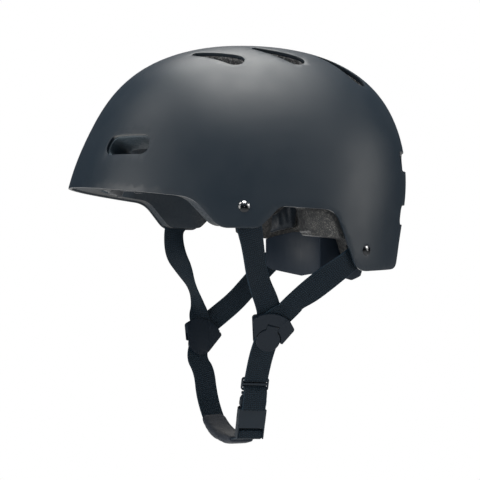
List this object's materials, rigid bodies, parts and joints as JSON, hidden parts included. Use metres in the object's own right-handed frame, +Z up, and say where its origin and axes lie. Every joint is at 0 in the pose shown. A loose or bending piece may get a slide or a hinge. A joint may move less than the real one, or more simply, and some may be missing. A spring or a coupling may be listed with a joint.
{
  "type": "skateboard helmet",
  "caption": "Hard-shell skate helmet with foam liner, comfort pads, rear dial fit system, side strap dividers and a side-release chin buckle.",
  "frame": {"origin": "centre of the head opening, at the height of the brim", "axes": "+Z up, -Y where the wearer faces, +X to the wearer's left"},
  "size_m": [0.2102, 0.2756, 0.323],
  "materials": {
    "shell": "matte, very fine texture",
    "foam": "moulded bead foam",
    "pad": "brushed knit",
    "hook": "hook tape",
    "rivet": "polished",
    "washer": "plain",
    "webbing": "woven nylon",
    "divider": "moulded acetal",
    "buckle": "moulded acetal",
    "chin_pad": "knit over foam",
    "cradle": "moulded nylon",
    "knob": "fluted",
    "screw": "zinc plated"
  },
  "bodies": {
    "helmet": {"outer_shell": "shell", "eps_liner": "foam", "brow_pad": "pad", "crown_pad": "pad", "side_pad_left": "pad", "side_pad_right": "pad", "nape_pad_left": "pad", "nape_pad_right": "pad", "pad_hooks": "hook", "shell_rivets": "rivet", "rivet_washers": "washer", "strap_front_left": "webbing", "strap_front_right": "webbing", "strap_rear_left": "webbing", "strap_rear_right": "webbing", "divider_left": "divider", "divider_right": "divider", "lower_strap_left": "webbing", "lower_strap_right": "webbing", "chin_pad": "chin_pad", "buckle_male": "buckle", "buckle_female": "buckle", "dial_housing": "cradle", "dial_cover": "cradle", "cover_screws": "screw", "cradle_hanger": "cradle", "cradle_pad": "pad"},
    "dial": {"dial_knob": "knob", "dial_pinion": "cradle"},
    "arm_left": {"cradle_arm_left": "cradle"},
    "arm_right": {"cradle_arm_right": "cradle"},
    "lock_left": {"divider_lock_left": "divider"},
    "lock_right": {"divider_lock_right": "divider"},
    "prong_front": {"buckle_prong_front": "buckle"},
    "prong_rear": {"buckle_prong_rear": "buckle"}
  },
  "joints": [
    {"name": "dial_turn", "type": "hinge", "parent": "helmet", "child": "dial", "pos_m": [0, 0.093, -0.051], "axis": [0, -1, 0], "range_deg": [0, 70]},
    {"name": "arm_left_slide", "type": "slide", "parent": "helmet", "child": "arm_left", "axis": [-1, 0, 0], "range_m": [0, 0.006]},
    {"name": "arm_right_slide", "type": "slide", "parent": "helmet", "child": "arm_right", "axis": [1, 0, 0], "range_m": [0, 0.006]},
    {"name": "lock_left_hinge", "type": "hinge", "parent": "helmet", "child": "lock_left", "pos_m": [0.07926, 0.00392, -0.10797], "axis": [0, -0.965, 0.2622], "range_deg": [0, 75]},
    {"name": "lock_right_hinge", "type": "hinge", "parent": "helmet", "child": "lock_right", "pos_m": [-0.0841, -0.01187, -0.12379], "axis": [0, 0.9342, -0.3569], "range_deg": [0, 75]},
    {"name": "prong_front_press", "type": "hinge", "parent": "helmet", "child": "prong_front", "pos_m": [0.05576, -0.00995, -0.16087], "axis": [0.979, -0.0113, -0.2038], "range_deg": [0, 9], "stiffness_Nm_per_rad": 0.12},
    {"name": "prong_rear_press", "type": "hinge", "parent": "helmet", "child": "prong_rear", "pos_m": [0.05576, 0.00124, -0.16149], "axis": [-0.979, 0.0113, 0.2038], "range_deg": [0, 9], "stiffness_Nm_per_rad": 0.12}
  ],
  "couplings": [
    {"joint": "arm_left_slide", "follows": "dial_turn", "m_per_rad": 0.0048},
    {"joint": "arm_right_slide", "follows": "dial_turn", "m_per_rad": 0.0048}
  ]
}
